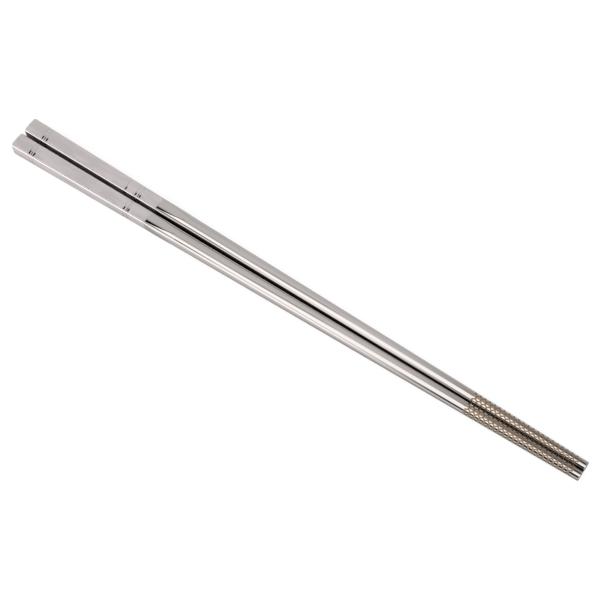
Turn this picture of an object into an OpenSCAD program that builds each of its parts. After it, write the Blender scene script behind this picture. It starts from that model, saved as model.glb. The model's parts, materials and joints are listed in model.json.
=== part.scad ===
// A pair of reusable steel chopsticks lying side by side on a table.
// Each stick is a closed steel tube: square and satin at the butt, round and polished
// from the shoulder on, with an etched grip of polished pads just behind the tip.
// X runs from the butts to the tips, Y away from the near stick, Z up from the table.

/* [Stick] */
// Length of a stick from butt to tip
stick_length = 235; // [215:1:260]
// Diameter of the round shaft where the shoulder ends
shaft_width = 6.4; // [5.8:0.1:7]
// Diameter of the flat-ended tip
tip_width = 3.6; // [2.5:0.1:4.5]
// Size of the bevel around the end of the tip
tip_break = 0.25; // [0.1:0.05:0.5]

/* [Handle] */
// Length of the square handle, from the butt to the shoulder
handle_length = 61; // [45:1:80]
// Width across the faces at the butt
butt_width = 6.7; // [6.2:0.1:7.2]
// Width across the faces where the shoulder starts
neck_width = 5.7; // [5.2:0.1:6]
// Radius of the slight crown across each face
face_crown = 22; // [15:1:60]
// Depth taken off each long corner of the square, along its diagonal
corner_break = 0.28; // [0.15:0.01:0.5]
// Size of the bevel around the butt end
butt_break = 0.45; // [0.2:0.05:0.8]
// Length over which the square turns round
shoulder_length = 13; // [8:1:20]

/* [Turned lines] */
// Width of each line turned into the handle
line_width = 0.35; // [0.2:0.05:0.5]
// Depth of each line
line_depth = 0.06; // [0.03:0.01:0.15]
// Distance of the first line from the butt
butt_lines_at = 8.1; // [4:0.1:14]
// Spacing of the three lines near the butt
butt_lines_pitch = 0.94; // [0.7:0.01:1.5]
// Distance of the first line near the shoulder from the end of the handle
neck_lines_at = 9.5; // [6:0.1:12]
// Step from the first line near the shoulder to the second
neck_first_step = 1.15; // [0.8:0.05:1.6]
// Step from the second line near the shoulder to the third
neck_last_step = 0.7; // [0.6:0.05:1.2]
// Distance of the far stick's odd line behind its lines near the shoulder
odd_line_gap = 4.4; // [2:0.1:8]

/* [Grip] */
// Length of the etched grip
grip_length = 40; // [20:1:60]
// Plain polished length between the grip and the tip
grip_to_tip = 2.8; // [1.5:0.1:8]
// Depth of the etching between the pads
etch_depth = 0.07; // [0.04:0.01:0.15]
// Rows of pads around the shaft
pad_rows = 8; // [6:2:10]
// Spacing of the pads along a row
pad_pitch = 1.83; // [1.6:0.01:3]
// How far into the grip the first pad's middle lies
first_pad_at = 0.3; // [0:0.05:0.8]
// Width of the etched lines between the pads
etched_line = 0.52; // [0.3:0.01:0.8]

/* [Pair] */
// Gap between the round shafts, which lie side by side
pair_gap = 0.05; // [0.02:0.01:2]

/* [Hidden] */
$fn = 48;
// Facets around the etched ground between the pads, which is rough
ground_facets = 24;
steel = "#b9b3b1";
// The faces of the handle run on this far outside the round before they are dropped
face_overrun = 0.02;
// How far an outline that cuts another reaches past it
clearance = 1;

shaft_start = handle_length + shoulder_length;
// The sides of the shaft lean in by this angle, and it lies flat along its underside
lean = atan((shaft_width - tip_width) / 2 / (stick_length - shaft_start));
// Radius that the even taper would reach at the butt
cone_r = shaft_width / 2 + shaft_start * tan(lean);
// Height of the stick's axis there, and its distance from the middle of the gap
axis_height = cone_r * cos(lean);
grip_end = stick_length - grip_to_tip;
grip_start = grip_end - grip_length;

butt_lines = [for (i = [0 : 2]) butt_lines_at + i * butt_lines_pitch];
neck_line = handle_length - neck_lines_at;
neck_lines = [neck_line, neck_line + neck_first_step, neck_line + neck_first_step + neck_last_step];
odd_line = neck_line - odd_line_gap;

// Radius of the evenly tapered shaft at a distance from the butt
function shaft_r(x) = cone_r - x * tan(lean);

// Radius of the long corners where the crowned square has this width
function corner_r(width) =
    let (middle = width / 2 - face_crown)
    (middle + sqrt(2 * face_crown ^ 2 - middle ^ 2)) / sqrt(2) - corner_break;

// Turns an outline of [radius, distance from the butt] points about the X axis
module turned(outline) {
    rotate([0, 90, 0])
    rotate_extrude()
    polygon(outline);
}

// The same, with lines cut into the handle, whose radius runs from butt_r to neck_r
module turned_with_lines(outline, lines, butt_r, neck_r) {
    rotate([0, 90, 0])
    rotate_extrude()
    difference() {
        polygon(outline);
        for (x = lines)
        translate([butt_r + (neck_r - butt_r) * x / handle_length - line_depth, x - line_width / 2])
        square([shaft_width, line_width]);
    }
}

// The round form: the long corners of the handle, the shoulder, the shaft and the tip
module round_form(lines) {
    butt_r = corner_r(butt_width);
    neck_r = corner_r(neck_width);
    tip_edge = stick_length - tip_break;
    outline = [
        [0, 0],
        [butt_r - butt_break, 0],
        [butt_r, butt_break],
        [neck_r, handle_length],
        [shaft_width / 2, shaft_start],
        [shaft_r(tip_edge), tip_edge],
        [shaft_r(stick_length) - tip_break, stick_length],
        [0, stick_length]
    ];
    turned_with_lines(outline, lines, butt_r, neck_r);
}

// One crowned face of the handle, which runs out over the round along the shoulder
module crowned_face(lines) {
    butt_r = face_crown;
    neck_r = face_crown + (neck_width - butt_width) / 2;
    end_r = face_crown + (shaft_width - butt_width) / 2 + face_overrun;
    far_end = stick_length + clearance;
    outline = [
        [0, -clearance],
        [butt_r - butt_break - clearance, -clearance],
        [butt_r, butt_break],
        [neck_r, handle_length],
        [end_r, shaft_start],
        [end_r, far_end],
        [0, far_end]
    ];
    translate([0, 0, butt_width / 2 - face_crown])
    turned_with_lines(outline, lines, butt_r, neck_r);
}

// Six-sided prism that spares one pad from the etching. The pads lie like the cells of a
// honeycomb whose rows run along the shaft, and they narrow with it towards the tip.
module pad(x) {
    share = 1 - etched_line / pad_pitch;
    side = share * pad_pitch / 2;
    peak = share * 4 / 3 * PI * shaft_r(x) / pad_rows;
    translate([x, 0, 0])
    linear_extrude(height = shaft_width)
    polygon([
        [0, -peak],
        [side, -peak / 2],
        [side, peak / 2],
        [0, peak],
        [-side, peak / 2],
        [-side, -peak / 2]
    ]);
}

// Rows of pads around the grip, every other row half a pitch further on
module pads() {
    for (row = [0 : pad_rows - 1])
    rotate([row * 360 / pad_rows, 0, 0])
    for (x = [grip_start + first_pad_at + (row % 2) * pad_pitch / 2 : pad_pitch : grip_end])
    pad(x);
}

// Thin sleeve of steel that is etched away around the pads
module etching() {
    difference() {
        turned([
            [shaft_r(grip_start) - etch_depth, grip_start],
            [shaft_width, grip_start],
            [shaft_width, grip_end],
            [shaft_r(grip_end) - etch_depth, grip_end]
        ], $fn = ground_facets);
        pads();
    }
}

// One stick along X, its axis on the X axis
module stick(lines) {
    difference() {
        intersection() {
            round_form(lines);
            crowned_face(lines);
            rotate([90, 0, 0]) crowned_face(lines);
            rotate([180, 0, 0]) crowned_face(lines);
            rotate([270, 0, 0]) crowned_face(lines);
        }
        etching();
    }
}

// Lays a stick on the table with its shaft along the middle line: side is -1 near, 1 far
module lay(side) {
    translate([-stick_length / 2, side * (axis_height + pair_gap / 2), axis_height])
    rotate([0, lean, -side * lean])
    children();
}

module near_chopstick() {
    color(steel)
    lay(-1)
    stick(concat(butt_lines, neck_lines));
}

module far_chopstick() {
    color(steel)
    lay(1)
    stick(concat(butt_lines, neck_lines, [odd_line]));
}

near_chopstick();
far_chopstick();
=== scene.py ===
"""A pair of steel chopsticks on a white studio floor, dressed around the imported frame.

Each stick is one closed mesh: a square satin handle with turned lines, a polished shoulder and
shaft, an etched grip with polished pads, and a polished tip. The mesh is worked out in
millimetres along the stick's own axis, and its points are then laid where the frame has them.
"""

import json
import math

import bmesh
import bpy
import numpy as np
from mathutils import Matrix, Vector


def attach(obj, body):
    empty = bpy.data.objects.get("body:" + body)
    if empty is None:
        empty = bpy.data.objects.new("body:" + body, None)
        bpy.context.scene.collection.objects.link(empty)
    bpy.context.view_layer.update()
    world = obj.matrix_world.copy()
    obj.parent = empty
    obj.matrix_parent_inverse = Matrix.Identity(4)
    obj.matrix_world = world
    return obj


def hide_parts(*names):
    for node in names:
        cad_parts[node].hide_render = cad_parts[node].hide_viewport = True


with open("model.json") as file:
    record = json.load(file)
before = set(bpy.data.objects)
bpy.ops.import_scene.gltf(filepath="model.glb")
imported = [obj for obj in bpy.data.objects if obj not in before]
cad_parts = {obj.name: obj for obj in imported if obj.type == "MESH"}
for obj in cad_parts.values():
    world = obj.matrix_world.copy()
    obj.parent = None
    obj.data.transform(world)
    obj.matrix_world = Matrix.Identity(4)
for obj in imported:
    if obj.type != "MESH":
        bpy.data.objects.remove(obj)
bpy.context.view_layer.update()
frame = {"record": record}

MM = 0.001

# Sizes of a stick, in millimetres, as the frame has them
STICK_LENGTH = 235.0
SHAFT_WIDTH = 6.4
TIP_WIDTH = 3.6
TIP_BREAK = 0.25
HANDLE_LENGTH = 61.0
BUTT_WIDTH = 6.7
NECK_WIDTH = 5.7
FACE_CROWN = 22.0
CORNER_BREAK = 0.28
BUTT_BREAK = 0.45
SHOULDER_LENGTH = 13.0
FACE_OVERRUN = 0.02

# Turned lines: distance from the butt and width
LINE_DEPTH = 0.06
LINE_WALL = 0.03
BOLD_LINE = 0.6
FINE_LINE = 0.3
BUTT_LINES = ((8.1, BOLD_LINE), (9.04, FINE_LINE), (9.98, BOLD_LINE))
NECK_LINES = ((51.5, BOLD_LINE), (52.65, FINE_LINE), (53.35, BOLD_LINE))
ODD_LINE = ((47.1, BOLD_LINE),)

# Grip: pads that lie like the cells of a honeycomb around the shaft
GRIP_LENGTH = 40.0
GRIP_TO_TIP = 2.8
ETCH_DEPTH = 0.07
PAD_ROWS = 8
PAD_PITCH = 1.83
FIRST_PAD_AT = 0.3
ETCHED_LINE = 0.52
SPARE_COLUMNS = 3

# Rings of a pad as shares of it, the drop of its edge, and its wall and foot as shares of a cell
PAD_RINGS = (0.3, 0.65, 0.95)
PAD_EDGE_DROP = 0.007
WALL_SHARE = 0.03
WALL_DEPTH = 0.8 * ETCH_DEPTH
FOOT_SHARE = 0.08

SHAFT_START = HANDLE_LENGTH + SHOULDER_LENGTH
LEAN = math.atan((SHAFT_WIDTH - TIP_WIDTH) / 2 / (STICK_LENGTH - SHAFT_START))
CONE_R = SHAFT_WIDTH / 2 + SHAFT_START * math.tan(LEAN)
GRIP_END = STICK_LENGTH - GRIP_TO_TIP
GRIP_START = GRIP_END - GRIP_LENGTH

# How finely the mesh follows the form: counts, spacings in millimetres, and limits
FACE_STEPS = 7
CORNER_STEPS = 2
EDGE_STEPS = (-1.6, -1.0, -0.6, -0.2, 0.2, 0.6, 1.0, 1.6)
EDGE_ROUND = 0.11
EDGE_SHARE = 0.15
LEAST_BLEND = 1e-6
LEAST_BORDER = math.radians(4)
SHARP_EDGE = math.radians(35)
SPREAD_LENGTH = 24.0
HANDLE_RING = 1.0
SHOULDER_RING = 0.4
SHAFT_RING = 2.0
BREAK_RINGS = 6
RING_IN_END = 0.5
CLEAR_OF_LINE = 0.2
BESIDE_LINE = 0.1
BESIDE_GRIP = 0.5
LAST_RING_TO_TIP = 1.2
PAD_SIDE_STEPS = 4
WELD = 0.0001
LEVEL = 0.01

# The finishes' places on a mesh
SATIN, POLISHED, ETCHED = range(3)

# Points of a ring from the middle of one face to the next, and the first that starts the polish
POINTS_PER_FACE = 2 * (FACE_STEPS + len(EDGE_STEPS) - 1 + CORNER_STEPS)
FIRST_POLISHED = FACE_STEPS + 2


def corner_r(width):
    """Radius of the long corners where the crowned square has this width."""
    middle = width / 2 - FACE_CROWN
    return (middle + math.sqrt(2 * FACE_CROWN**2 - middle**2)) / math.sqrt(2) - CORNER_BREAK


def shaft_r(x):
    """Radius of the evenly tapered shaft at a distance from the butt."""
    return CONE_R - x * math.tan(LEAN)


def along_handle(x, butt, neck, end):
    """A size that runs evenly from the butt to the neck, and on to the start of the shaft."""
    return float(np.interp(x, [BUTT_BREAK, HANDLE_LENGTH, SHAFT_START], [butt, neck, end]))


def outline_sizes(x, inset=0.0):
    """Radius of the corners, middle and radius of the crowned faces, and the edge's angle."""
    end = SHAFT_WIDTH + 2 * FACE_OVERRUN
    width = along_handle(x, BUTT_WIDTH, NECK_WIDTH, end)
    round_r = along_handle(x, corner_r(BUTT_WIDTH), corner_r(NECK_WIDTH), SHAFT_WIDTH / 2) - inset
    middle = BUTT_WIDTH / 2 - FACE_CROWN
    bow = FACE_CROWN + (width - BUTT_WIDTH) / 2 - inset
    cosine = (round_r**2 + middle**2 - bow**2) / (2 * round_r * middle)
    border = math.acos(min(cosine, math.cos(LEAST_BORDER)))
    return round_r, middle, bow, border


def radius(x, angles, inset=0.0):
    """Distance of the surface from the axis, at each angle from straight up."""
    if x >= SHAFT_START:
        return np.full_like(angles, shaft_r(x) - inset)
    round_r, middle, bow, border = outline_sizes(x, inset)

    def face(angle):
        return middle * np.cos(angle) + np.sqrt(bow**2 - (middle * np.sin(angle)) ** 2)

    from_face = np.abs((angles + math.pi / 4) % (math.pi / 2) - math.pi / 4)
    edge = min(EDGE_ROUND / round_r, EDGE_SHARE * border)
    blend = max(float(face(border + edge) - face(border)), LEAST_BLEND)
    outside = face(from_face)
    share = np.clip(0.5 + (outside - round_r) / (2 * blend), 0, 1)
    return outside + (round_r - outside) * share - blend * share * (1 - share)


def ring_angles(x):
    """Angles of a ring's points: along the handle, they keep to the edges of its faces."""
    round_r, _, _, border = outline_sizes(min(x, SHAFT_START))
    edge = min(EDGE_ROUND / round_r, EDGE_SHARE * border)
    half = math.pi / 4
    first_edge = border + EDGE_STEPS[0] * edge
    last_edge = border + EDGE_STEPS[-1] * edge
    fitted = np.concatenate([
        np.linspace(0, first_edge, FACE_STEPS, endpoint=False),
        border + edge * np.array(EDGE_STEPS[:-1]),
        np.linspace(last_edge, half, CORNER_STEPS + 1),
    ])
    even = np.linspace(0, half, len(fitted))
    spread = np.clip((x - SHAFT_START) / SPREAD_LENGTH, 0, 1)
    spread = spread * spread * (3 - 2 * spread)
    eighth = fitted + (even - fitted) * spread
    quarter = np.concatenate([eighth, (2 * half - eighth[::-1])[1:-1]])
    return np.concatenate([quarter + turn * 2 * half for turn in range(4)])


def surface_normals(x, angles, radii):
    """Normals of the form without its lines, from its slopes along and around the stick."""
    step = 1e-4
    around = (radius(x, angles + step) - radius(x, angles - step)) / (2 * step)
    forward = min(x + step, STICK_LENGTH)
    backward = max(x - step, 0)
    along = (radius(forward, angles) - radius(backward, angles)) / (forward - backward)
    slope = around / radii
    sine, cosine = np.sin(angles), np.cos(angles)
    return np.stack([-along, sine - slope * cosine, cosine + slope * sine], axis=1)


class Shell:
    """The vertices and faces of one stick, along the X axis, in millimetres."""

    def __init__(self):
        self.points = []
        self.normals = []
        self.faces = []
        self.finishes = []
        self.exact = []

    def point(self, place, normal=(0, 0, 0)):
        self.points.append(tuple(place))
        self.normals.append(tuple(normal))
        return len(self.points) - 1

    def face(self, corners, finish, exact=False):
        """Adds a face without its doubled corners. An exact one takes the form's own normals."""
        kept = [c for i, c in enumerate(corners) if c != corners[i - 1]]
        if len(kept) > 2:
            self.faces.append(kept)
            self.finishes.append(finish)
            self.exact.append(exact)

    def ring(self, x, depth=0.0, inset=0.0, scale=1.0):
        """A ring of points around the axis, sunk by depth, or drawn in for a bevel or an end."""
        angles = ring_angles(x)
        radii = radius(x, angles, inset)
        normals = surface_normals(x, angles, radii)
        out = (radii - depth) * scale
        places = np.stack([np.full_like(out, x), out * np.sin(angles), out * np.cos(angles)], axis=1)
        return [self.point(p, n) for p, n in zip(places, normals)]

    def band(self, first, second, finish, exact=False, bright_corners=False):
        """Faces between two rings with as many points, the second nearer to the tip. With bright
        corners, those along the handle's long corners are polished."""
        for i in range(len(first)):
            k = (i + 1) % len(first)
            at_corner = FIRST_POLISHED <= i % POINTS_PER_FACE < POINTS_PER_FACE - FIRST_POLISHED
            corner_finish = POLISHED if at_corner and bright_corners else finish
            self.face([first[i], second[i], second[k], first[k]], corner_finish, exact)

    def angle(self, index):
        _, y, z = self.points[index]
        return math.atan2(y, z) % (2 * math.pi)

    def zip_band(self, first, second, finish):
        """Triangles between two rings whose points lie at different angles."""
        turn = 2 * math.pi
        angles_1 = [self.angle(p) for p in first] + [self.angle(first[0]) + turn]
        angles_2 = [self.angle(p) for p in second] + [self.angle(second[0]) + turn]
        i = k = 0
        while i < len(first) or k < len(second):
            a, b = first[i % len(first)], second[k % len(second)]
            step_1 = k == len(second) or (i < len(first) and angles_1[i + 1] <= angles_2[k + 1])
            if step_1:
                self.face([a, b, first[(i + 1) % len(first)]], finish, True)
                i += 1
            else:
                self.face([a, b, second[(k + 1) % len(second)]], finish, True)
                k += 1

    def cap(self, ring, x, finish, at_tip):
        """Closes the end of the stick with a point in its middle."""
        centre = self.point((x, 0, 0))
        for i in range(len(ring)):
            pair = [ring[i], ring[(i + 1) % len(ring)]]
            self.face([centre] + (pair[::-1] if at_tip else pair), finish)


def grip_lattice():
    """The grip's cells as a mesh: a pad in each, with etched ground around it."""
    share = 1 - ETCHED_LINE / PAD_PITCH
    side = PAD_PITCH / 2
    # The cells fit together, since their peaks reach two thirds of the way to the next row
    peak = math.radians(2 / 3 * 360 / PAD_ROWS)
    corners = [
        (side, -peak / 2),
        (side, peak / 2),
        (0, peak),
        (-side, peak / 2),
        (-side, -peak / 2),
        (0, -peak),
    ]
    outline = []
    for i, (x1, a1) in enumerate(corners):
        x2, a2 = corners[(i + 1) % len(corners)]
        for step in range(PAD_SIDE_STEPS):
            part = step / PAD_SIDE_STEPS
            outline.append((x1 + (x2 - x1) * part, a1 + (a2 - a1) * part))

    # Each ring of a cell: its share of the cell, its depth, and the finish inside it
    profile = (
        *((ring * share, 0, POLISHED) for ring in PAD_RINGS),
        (share, PAD_EDGE_DROP, POLISHED),
        (share + WALL_SHARE, WALL_DEPTH, ETCHED),
        (share + FOOT_SHARE, ETCH_DEPTH, ETCHED),
        (1, ETCH_DEPTH, ETCHED),
    )
    lattice = bmesh.new()
    exact = lattice.faces.layers.int.new("exact")

    def vertex(x, angle, depth):
        r = shaft_r(x) - depth
        return lattice.verts.new((x, r * math.sin(angle), r * math.cos(angle)))

    columns = int(GRIP_LENGTH / PAD_PITCH) + SPARE_COLUMNS
    for row in range(PAD_ROWS):
        middle_angle = row * 2 * math.pi / PAD_ROWS
        for column in range(-1, columns):
            middle_x = GRIP_START + FIRST_PAD_AT + (column + row % 2 / 2) * PAD_PITCH
            inner = [vertex(middle_x, middle_angle, 0)]
            for scale, depth, finish in profile:
                outer = []
                for x, angle in outline:
                    outer.append(vertex(middle_x + x * scale, middle_angle + angle * scale, depth))
                for i in range(len(outer)):
                    k = (i + 1) % len(outer)
                    within = [inner[0]] if len(inner) == 1 else [inner[k], inner[i]]
                    face = lattice.faces.new([outer[i], outer[k]] + within)
                    face.material_index = finish
                    face[exact] = int(finish == POLISHED and depth == 0)
                inner = outer
    bmesh.ops.remove_doubles(lattice, verts=lattice.verts, dist=WELD)
    for x, outside in ((GRIP_START, -1), (GRIP_END, 1)):
        bmesh.ops.bisect_plane(
            lattice,
            geom=lattice.verts[:] + lattice.edges[:] + lattice.faces[:],
            dist=WELD,
            plane_co=(x, 0, 0),
            plane_no=(outside, 0, 0),
            clear_outer=True,
        )
    return lattice


def add_grip(shell):
    """Adds the grip. Returns its first and last ring, on the polished steel around it."""
    lattice = grip_lattice()
    exact = lattice.faces.layers.int["exact"]
    up_slope = math.sin(LEAN)
    places = {}
    for vert in lattice.verts:
        angle = math.atan2(vert.co.y, vert.co.z)
        normal = (up_slope, math.sin(angle) * math.cos(LEAN), math.cos(angle) * math.cos(LEAN))
        places[vert] = shell.point(vert.co, normal)
    for face in lattice.faces:
        shell.face([places[v] for v in face.verts], face.material_index, bool(face[exact]))
    edges = []
    for x in (GRIP_START, GRIP_END):
        sunk = sorted((places[v] for v in lattice.verts if abs(v.co.x - x) < WELD), key=shell.angle)
        level = []
        for index in sunk:
            _, y, z = shell.points[index]
            grow = shaft_r(x) / math.hypot(y, z)
            flush = (grow - 1) * math.hypot(y, z) < LEVEL
            if not flush:
                index = shell.point((x, y * grow, z * grow), shell.normals[index])
            level.append(index)
        pair = (level, sunk) if x == GRIP_START else (sunk, level)
        shell.band(*pair, ETCHED)
        edges.append(level)
    lattice.free()
    return edges


def stick_shell(lines):
    """The whole stick, from the flat butt to the flat tip."""
    shell = Shell()
    butt_rings = []
    for i in range(BREAK_RINGS):
        turn = math.pi / 2 * i / BREAK_RINGS
        x = BUTT_BREAK * (1 - math.cos(turn))
        butt_rings.append(shell.ring(x, inset=BUTT_BREAK * (1 - math.sin(turn))))
    middle = shell.ring(0, inset=BUTT_BREAK, scale=RING_IN_END)
    shell.cap(middle, 0, SATIN, at_tip=False)
    for first, second in zip([middle] + butt_rings, butt_rings):
        shell.band(first, second, SATIN)

    # Stops along the handle, each with its depth and the finish of the band before it
    stops = [(x, 0, SATIN) for x in np.arange(HANDLE_RING, HANDLE_LENGTH, HANDLE_RING)]
    for at, width in lines:
        start, end = at - width / 2, at + width / 2
        stops = [s for s in stops if not start - CLEAR_OF_LINE < s[0] < end + CLEAR_OF_LINE]
        stops += [
            (start - BESIDE_LINE, 0, SATIN),
            (start, 0, SATIN),
            (start + LINE_WALL, LINE_DEPTH, POLISHED),
            (end - LINE_WALL, LINE_DEPTH, POLISHED),
            (end, 0, POLISHED),
            (end + BESIDE_LINE, 0, SATIN),
        ]
    stops = sorted([(BUTT_BREAK, 0, SATIN)] + stops + [(HANDLE_LENGTH, 0, SATIN)])
    last, last_depth = butt_rings[-1], 0
    for x, depth, finish in stops:
        ring = shell.ring(x, depth=depth)
        exact = depth == last_depth and x > BUTT_BREAK
        shell.band(last, ring, finish, exact, bright_corners=True)
        last, last_depth = ring, depth

    shoulder = np.arange(HANDLE_LENGTH + SHOULDER_RING, SHAFT_START, SHOULDER_RING)
    shaft = np.arange(SHAFT_START, GRIP_START - SHAFT_RING / 2, SHAFT_RING)
    for x in np.concatenate([shoulder, shaft, [GRIP_START - BESIDE_GRIP]]):
        ring = shell.ring(float(x))
        shell.band(last, ring, POLISHED, exact=True)
        last = ring

    grip_start, grip_end = add_grip(shell)
    shell.zip_band(last, grip_start, POLISHED)
    last = shell.ring(GRIP_END + BESIDE_GRIP)
    shell.zip_band(grip_end, last, POLISHED)
    for x in (STICK_LENGTH - LAST_RING_TO_TIP, STICK_LENGTH - TIP_BREAK):
        ring = shell.ring(x)
        shell.band(last, ring, POLISHED, exact=True)
        last = ring
    for i in range(1, BREAK_RINGS + 1):
        turn = math.pi / 2 * i / BREAK_RINGS
        x = STICK_LENGTH - TIP_BREAK * (1 - math.sin(turn))
        ring = shell.ring(x, inset=TIP_BREAK * (1 - math.cos(turn)))
        shell.band(last, ring, POLISHED)
        last = ring
    middle = shell.ring(STICK_LENGTH, inset=TIP_BREAK, scale=RING_IN_END)
    shell.band(last, middle, POLISHED)
    shell.cap(middle, STICK_LENGTH, POLISHED, at_tip=True)
    return shell


def stick_mesh(name, lines, origin, turned, finishes):
    """The shell as a mesh in metres where the stick lies, with its finishes and exact normals."""
    shell = stick_shell(lines)
    mesh = bpy.data.meshes.new(name)
    mesh.from_pydata([origin + turned @ Vector(p) * MM for p in shell.points], [], shell.faces)
    for finish in finishes:
        mesh.materials.append(finish)
    mesh.polygons.foreach_set("material_index", shell.finishes)
    mesh.polygons.foreach_set("use_smooth", [True] * len(shell.faces))
    mesh.update()
    mesh.set_sharp_from_angle(angle=SHARP_EDGE)
    normals = []
    for face, exact in zip(shell.faces, shell.exact):
        for corner in face:
            normal = turned @ Vector(shell.normals[corner]).normalized()
            normals.append(normal if exact else (0, 0, 0))
    mesh.normals_split_custom_set(normals)
    return mesh


class Nodes:
    """Builds a node tree: inputs that are sockets are linked, the others are set."""

    def __init__(self, tree):
        self.tree = tree
        tree.nodes.clear()

    def add(self, kind, inputs=(), **settings):
        node = self.tree.nodes.new(kind)
        for name, value in settings.items():
            setattr(node, name, value)
        for key, value in dict(inputs).items():
            if isinstance(value, bpy.types.NodeSocket):
                self.tree.links.new(value, node.inputs[key])
            else:
                node.inputs[key].default_value = value
        return node

    def math(self, operation, first, second=0.0):
        return self.add("ShaderNodeMath", {0: first, 1: second}, operation=operation).outputs[0]

    def step(self, value, low, high, from_value=0.0, to_value=1.0):
        """A smooth step from one value to another while the input goes from low to high."""
        inputs = {"Value": value, "From Min": low, "From Max": high}
        inputs.update({"To Min": from_value, "To Max": to_value})
        node = self.add("ShaderNodeMapRange", inputs, interpolation_type="SMOOTHSTEP")
        return node.outputs[0]

    def window(self, value, low, high, soft):
        """1 between low and high, and 0 outside, with soft edges that lie around them."""
        above = self.math("SUBTRACT", value, low)
        below = self.math("SUBTRACT", high, value)
        return self.step(self.math("MINIMUM", above, below), -soft / 2, soft / 2)

    def noise(self, place, scale, detail):
        """Noise that varies by scale times in each millimetre along X, Y and Z."""
        stretched = self.add("ShaderNodeVectorMath", {0: place, 1: scale}, operation="MULTIPLY")
        inputs = {"Vector": stretched.outputs[0], "Scale": 1.0, "Detail": detail}
        return self.add("ShaderNodeTexNoise", inputs).outputs["Fac"]

    def place(self):
        """The place on the object, in millimetres."""
        at = self.add("ShaderNodeTexCoord").outputs["Object"]
        scaled = self.add("ShaderNodeVectorMath", {0: at, "Scale": 1 / MM}, operation="SCALE")
        return scaled.outputs[0]

    def blend(self, factor, first, second):
        """A colour between two, by a factor. The node keeps its colours at sockets 6, 7 and 2."""
        inputs = {0: factor, 6: first, 7: second}
        return self.add("ShaderNodeMix", inputs, data_type="RGBA").outputs[2]

    def bump(self, height, distance):
        inputs = {"Height": height, "Distance": distance * MM, "Strength": 1.0}
        return self.add("ShaderNodeBump", inputs).outputs[0]

    def steel(self, colour, roughness, normal):
        """Bare metal."""
        inputs = {"Base Color": colour, "Metallic": 1.0, "Roughness": roughness, "Normal": normal}
        shader = self.add("ShaderNodeBsdfPrincipled", inputs)
        self.add("ShaderNodeOutputMaterial", {"Surface": shader.outputs[0]})


def new_material(name):
    """A new material and its tree, which is still empty."""
    material = bpy.data.materials.new(name)
    material.use_nodes = True
    return material, Nodes(material.node_tree)


# Noises: how often they vary in a millimetre along X, Y and Z, and how detailed they are
BRUSHING = ((0.25, 9, 9), 3)
CLOUDS = ((0.12, 0.5, 0.5), 2)
DRAWING = ((0.05, 5, 5), 2)
SMUDGES = ((0.08, 0.4, 0.4), 3)
GRAIN = ((9, 9, 9), 3)
STAINS = ((0.6, 0.6, 0.6), 2)

# Finishes: the two colours that a noise blends, the roughness as a ramp, which is two inputs and
# the values there, and the height of the bumps in millimetres
SATIN_TINTS = ((0.73, 0.685, 0.677, 1), (0.815, 0.742, 0.75, 1))
SATIN_TINT_RAMP = (0.35, 0.65)
SATIN_ROUGHNESS = (0.1, 0.4, 0.42, 0.5)
SATIN_BUMP = 0.0012
POLISHED_TINTS = ((0.57, 0.532, 0.518, 1), (0.6, 0.56, 0.545, 1))
PAD_TINT = (0.75, 0.655, 0.58, 1)
PAD_TINT_SOFT = 0.5
HANDLE_TINT = (0.72, 0.66, 0.66, 1)
HANDLE_TINT_SOFT = 1.0
POLISHED_ROUGHNESS = (0.3, 0.7, 0.03, 0.06)
POLISHED_BUMP = 0.0002
ETCHED_TINTS = ((0.225, 0.172, 0.128, 1), (0.315, 0.243, 0.187, 1))
ETCHED_ROUGHNESS = (0.3, 0.7, 0.42, 0.55)
ETCHED_BUMP = 0.008


def satin_finish():
    """The handle's faces and the butt."""
    material, nodes = new_material("satin_finish")
    place = nodes.place()
    brushed = nodes.noise(place, *BRUSHING)
    cloudy = nodes.noise(place, *CLOUDS)
    colour = nodes.blend(nodes.step(cloudy, *SATIN_TINT_RAMP), *SATIN_TINTS)
    roughness = nodes.step(nodes.math("MULTIPLY", brushed, cloudy), *SATIN_ROUGHNESS)
    nodes.steel(colour, roughness, nodes.bump(brushed, SATIN_BUMP))
    return material


def polished_finish():
    """The shoulder, the shaft and the tip, and in tints of their own the pads and the handle's
    corners and lines."""
    material, nodes = new_material("polished_finish")
    place = nodes.place()
    drawn = nodes.noise(place, *DRAWING)
    smudged = nodes.noise(place, *SMUDGES)
    x = nodes.add("ShaderNodeSeparateXYZ", {0: place}).outputs[0]
    butt = -STICK_LENGTH / 2
    grip = nodes.window(x, butt + GRIP_START, butt + GRIP_END, PAD_TINT_SOFT)
    neck = butt + HANDLE_LENGTH
    handle = nodes.step(x, neck - HANDLE_TINT_SOFT, neck, 1.0, 0.0)
    colour = nodes.blend(smudged, *POLISHED_TINTS)
    colour = nodes.blend(grip, colour, PAD_TINT)
    colour = nodes.blend(handle, colour, HANDLE_TINT)
    roughness = nodes.step(smudged, *POLISHED_ROUGHNESS)
    nodes.steel(colour, roughness, nodes.bump(drawn, POLISHED_BUMP))
    return material


def etched_finish():
    """The ground between the pads."""
    material, nodes = new_material("etched_finish")
    place = nodes.place()
    grain = nodes.noise(place, *GRAIN)
    colour = nodes.blend(nodes.noise(place, *STAINS), *ETCHED_TINTS)
    roughness = nodes.step(grain, *ETCHED_ROUGHNESS)
    nodes.steel(colour, roughness, nodes.bump(grain, ETCHED_BUMP))
    return material


def lay_stick(name, node, lines, finishes):
    """Makes a stick and lays it where the frame has it, by the flat face at its butt."""
    butt = node.split("_")[0] + "_butt_end"
    mount = next(m for m in frame["record"]["mounts"] if m["name"] == butt)
    along = -Vector(mount["axis"]).normalized()
    sideways = Vector((0, 0, 1)).cross(along).normalized()
    up = along.cross(sideways)
    turned = Matrix((along, sideways, up)).transposed()
    mesh = stick_mesh(name, lines, Vector(mount["pos_m"]), turned, finishes)
    stick = bpy.data.objects.new(name, mesh)
    bpy.context.scene.collection.objects.link(stick)
    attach(stick, "root")
    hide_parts(node)


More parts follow.
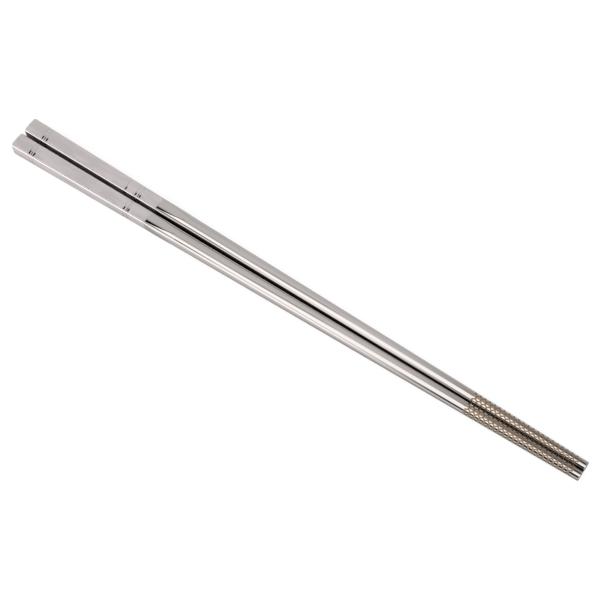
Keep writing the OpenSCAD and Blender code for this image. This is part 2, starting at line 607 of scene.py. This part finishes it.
# Camera: where it stands in the frame, which way it looks, and its lens
CAMERA_AT = Vector((140.256, -152.963, 416.71)) * MM
CAMERA_RIGHT = Vector((0.821775, 0.567090, -0.055635))
CAMERA_FORWARD = Vector((-0.290182, 0.332469, -0.897362))
PHOTO_SIDE = 600
FOCAL_PIXELS = 1337.16
SENSOR_WIDTH = 36
CLIP_START = 0.01


def add_camera():
    data = bpy.data.cameras.new("camera")
    data.sensor_width = SENSOR_WIDTH
    data.lens = SENSOR_WIDTH * FOCAL_PIXELS / PHOTO_SIDE
    data.clip_start = CLIP_START
    camera = bpy.data.objects.new("camera", data)
    bpy.context.scene.collection.objects.link(camera)
    back = -CAMERA_FORWARD.normalized()
    right = (CAMERA_RIGHT - CAMERA_RIGHT.dot(back) * back).normalized()
    turned = Matrix((right, back.cross(right), back)).transposed().to_4x4()
    camera.matrix_world = Matrix.Translation(CAMERA_AT) @ turned
    bpy.context.scene.camera = camera


# The studio by the direction its light comes from: x is the direction's share along X, and angle
# is measured in degrees from straight up, positive toward the viewer. A ramp is two inputs and the
# values there. A strip is where it starts, where it ends, and how soft its ends are.
BOX_EDGE_RAMPS = ((-0.31, -0.19, 22.0, 0.0), (-0.19, -0.13, 0.0, -6.0), (-0.125, -0.09, 0.0, 8.0))
BOX_EDGE_SOFT = 5.0
BOX_END_RAMP = (84.0, 98.0, 1.0, 0.0)
BOX_ANGLE_RAMP = (40.0, 75.0, 1.72, 1.7)
BOX_X_RAMP = (-0.3, -0.15, 0.0, -0.12)
TENT_ANGLE_RAMP = (-90.0, -20.0, 0.66, 0.78)
TENT_X_RAMP = (-0.2, -0.09, 1.1, 0.63)
TENT_SHOULDER_RAMP = (-0.36, -0.28, 0.07, 0.0)
TENT_BUTT_STRIP = (-0.8, -0.6, 0.1)
TENT_BUTT_SHADE = 0.25
TENT_TIP_RAMP = (0.05, 0.2, 0.0, 0.35)
WARM_STRIP = (-0.12, -0.045, 0.02)
WARM = (1, 0.87, 0.76, 1)
WHITE = (1, 1, 1, 1)

# Dark strips: a strip by angle, or by degrees past the softbox's edge for the first two, a strip by
# x, and how dark it is there
RIM = ((-20.0, -7.0, 5.0), (-0.3, -0.23, 0.03), 0.5)
THIN_RIM = ((-17.0, -6.0, 5.0), (-0.45, -0.3, 0.03), 0.25)
FAR_RIM = ((-44.0, -12.0, 10.0), (-0.09, 0.12, 0.12), 0.85)
MOUNT = ((-14.5, 8.0, 3.0), (-0.66, -0.37, 0.02), 1.0)
JOINT_STRIP = (51.0, 67.5, 5.0)
JOINT_X_RAMP = (-0.355, -0.295, 1.0, 0.4)
JOINT_SHADE = 0.85
FLAG_START_RAMP = (-0.12, -0.03, 59.0, 42.0)
FLAG_END = 89.0
FLAG_SOFT = 6.0
FLAG_X_STRIP = (-0.17, 0.12, 0.1)
FLAG_SHADE = 0.97

# Light that has come off two surfaces is lost in some directions, and off three in all of them, but
# for a small share. A ray's depth at the world is one more than the surfaces it has come off.
TWO_SURFACES = 2.5
THREE_SURFACES = 3.5
LOST_ANGLE_RAMP = (-20.0, 0.0, 1.0, 0.0)
LOST_X_RAMP = (-0.13, -0.1, 0.0, 0.6)
DEEP_LIGHT = 0.03


def tent_light(nodes, x, angle):
    """The light of the grey tent."""
    tent = nodes.math("MULTIPLY", nodes.step(angle, *TENT_ANGLE_RAMP), nodes.step(x, *TENT_X_RAMP))
    tent = nodes.math("SUBTRACT", tent, nodes.step(x, *TENT_SHOULDER_RAMP))
    butt_shade = nodes.math("MULTIPLY", nodes.window(x, *TENT_BUTT_STRIP), TENT_BUTT_SHADE)
    tent = nodes.math("SUBTRACT", tent, butt_shade)
    return nodes.math("ADD", tent, nodes.step(x, *TENT_TIP_RAMP))


def dark_strips(nodes, x, angle, past_edge):
    """How dark each strip is: the rims above the softbox, the joint across it, the flag below it
    and the flag's mount."""

    def strip(value, across, along, shade):
        return nodes.window(value, *across), nodes.window(x, *along), shade

    flag_start = nodes.step(x, *FLAG_START_RAMP)
    flag = nodes.window(angle, flag_start, FLAG_END, FLAG_SOFT)
    strips = (
        strip(past_edge, *RIM),
        strip(past_edge, *THIN_RIM),
        strip(angle, *FAR_RIM),
        (nodes.window(angle, *JOINT_STRIP), nodes.step(x, *JOINT_X_RAMP), JOINT_SHADE),
        (flag, nodes.window(x, *FLAG_X_STRIP), FLAG_SHADE),
        strip(angle, *MOUNT),
    )
    return [nodes.math("MULTIPLY", nodes.math("MULTIPLY", a, b), shade) for a, b, shade in strips]


def kept_share(nodes, x, angle):
    """The share of its light that a ray keeps, by how many surfaces it has come off."""
    depth = nodes.add("ShaderNodeLightPath").outputs["Ray Depth"]
    off_two = nodes.math("GREATER_THAN", depth, TWO_SURFACES)
    off_three = nodes.math("GREATER_THAN", depth, THREE_SURFACES)
    lost = nodes.math("MAXIMUM", nodes.step(angle, *LOST_ANGLE_RAMP), nodes.step(x, *LOST_X_RAMP))
    lost = nodes.math("MAXIMUM", off_three, nodes.math("MULTIPLY", off_two, lost))
    return nodes.step(lost, 0.0, 1.0, 1.0, DEEP_LIGHT)


def add_studio():
    """A soft studio: a grey tent, a long softbox on the near side, and dark strips beside it."""
    world = bpy.data.worlds.new("studio")
    bpy.context.scene.world = world
    world.use_nodes = True
    nodes = Nodes(world.node_tree)
    direction = nodes.add("ShaderNodeTexCoord").outputs["Generated"]
    x, y, z = nodes.add("ShaderNodeSeparateXYZ", {0: direction}).outputs
    toward_viewer = nodes.math("MULTIPLY", y, -1.0)
    angle = nodes.math("MULTIPLY", nodes.math("ARCTAN2", toward_viewer, z), 180 / math.pi)

    # The softbox's upper edge slants from one height to another along the sticks
    edge = 0.0
    for ramp in BOX_EDGE_RAMPS:
        edge = nodes.math("ADD", edge, nodes.step(x, *ramp))
    past_edge = nodes.math("SUBTRACT", angle, edge)
    in_box = nodes.step(past_edge, -BOX_EDGE_SOFT, BOX_EDGE_SOFT)
    softbox = nodes.math("MULTIPLY", in_box, nodes.step(angle, *BOX_END_RAMP))
    box_light = nodes.math("ADD", nodes.step(angle, *BOX_ANGLE_RAMP), nodes.step(x, *BOX_X_RAMP))
    tent = tent_light(nodes, x, angle)
    above_tent = nodes.math("SUBTRACT", box_light, tent)
    light = nodes.math("ADD", tent, nodes.math("MULTIPLY", softbox, above_tent))
    for dark in dark_strips(nodes, x, angle, past_edge):
        light = nodes.math("MULTIPLY", light, nodes.math("SUBTRACT", 1.0, dark))
    light = nodes.math("MULTIPLY", light, kept_share(nodes, x, angle))

    # The background is plain white where it is seen directly. In the steel, the tent beside the
    # grip is slightly warm.
    seen = nodes.add("ShaderNodeLightPath").outputs["Is Camera Ray"]
    inputs = {0: seen, 2: light, 3: 1.0}
    strength = nodes.add("ShaderNodeMix", inputs, data_type="FLOAT").outputs[0]
    out_of_box = nodes.step(in_box, 0.0, 1.0, 1.0, 0.0)
    warm = nodes.math("MULTIPLY", nodes.window(x, *WARM_STRIP), out_of_box)
    warm = nodes.math("MULTIPLY", warm, nodes.math("SUBTRACT", 1.0, seen))
    colour = nodes.blend(warm, WHITE, WARM)
    background = nodes.add("ShaderNodeBackground", {"Color": colour, "Strength": strength})
    nodes.add("ShaderNodeOutputWorld", {"Surface": background.outputs[0]})


# The floor: its side in metres, its own light and colour, and how brightly the steel reflects it, by
# the millimetres from the middle between the sticks. That reflected glow holds a painted shadow of
# the sticks, darkest beside them and fading outward, and painted shade beyond the far stick.
FLOOR_SIDE = 4.0
FLOOR_GLOW = 0.81
FLOOR_COLOUR = 0.25
PAINTED_SHADOW_RAMP = (3.0, 11.0, 0.0, 0.66)
PAINTED_SHADOW_FADE_RAMP = (8.0, 60.0, 0.0, 0.3)
FAR_SIDE_SHADE_RAMP = (0.0, 10.0, 1.0, 0.74)


def add_floor():
    """A white floor that keeps a faint shadow of the sticks. Its glow, as the steel reflects it,
    holds a painted shadow of the sticks and painted shade beyond the far one.
    """
    mesh = bpy.data.meshes.new("floor")
    half = FLOOR_SIDE / 2
    corners = [(-half, -half, 0), (half, -half, 0), (half, half, 0), (-half, half, 0)]
    mesh.from_pydata(corners, [], [(0, 1, 2, 3)])
    floor = bpy.data.objects.new("floor", mesh)
    bpy.context.scene.collection.objects.link(floor)
    material, nodes = new_material("floor")
    path = nodes.add("ShaderNodeLightPath").outputs
    reflected = nodes.math("MAXIMUM", path["Is Glossy Ray"], path["Is Transmission Ray"])
    glow = nodes.math("MULTIPLY", path["Is Camera Ray"], FLOOR_GLOW)
    y = nodes.add("ShaderNodeSeparateXYZ", {0: nodes.place()}).outputs[1]
    aside = nodes.math("ABSOLUTE", y)
    # Painted shadow: the glow that the steel reflects is nil beside the sticks and grows away from
    # them
    painted_shadow = nodes.step(aside, *PAINTED_SHADOW_RAMP)
    painted_shade_in_steel = nodes.math("ADD", painted_shadow, nodes.step(aside, *PAINTED_SHADOW_FADE_RAMP))
    # Painted shade: the reflected glow is dimmer beyond the far stick
    painted_shade_in_steel = nodes.math("MULTIPLY", painted_shade_in_steel, nodes.step(y, *FAR_SIDE_SHADE_RAMP))
    glow = nodes.math("ADD", glow, nodes.math("MULTIPLY", reflected, painted_shade_in_steel))
    lit = nodes.add("ShaderNodeBsdfDiffuse", {"Color": (FLOOR_COLOUR,) * 3 + (1,)})
    glowing = nodes.add("ShaderNodeEmission", {"Color": WHITE, "Strength": glow})
    both = nodes.add("ShaderNodeAddShader", {0: lit.outputs[0], 1: glowing.outputs[0]})
    nodes.add("ShaderNodeOutputMaterial", {"Surface": both.outputs[0]})
    mesh.materials.append(material)


add_camera()
finishes = (satin_finish(), polished_finish(), etched_finish())
lay_stick("near_stick", "near_chopstick", BUTT_LINES + NECK_LINES, finishes)
lay_stick("far_stick", "far_chopstick", BUTT_LINES + NECK_LINES + ODD_LINE, finishes)
add_studio()
add_floor()
bpy.context.scene.view_settings.view_transform = "Standard"
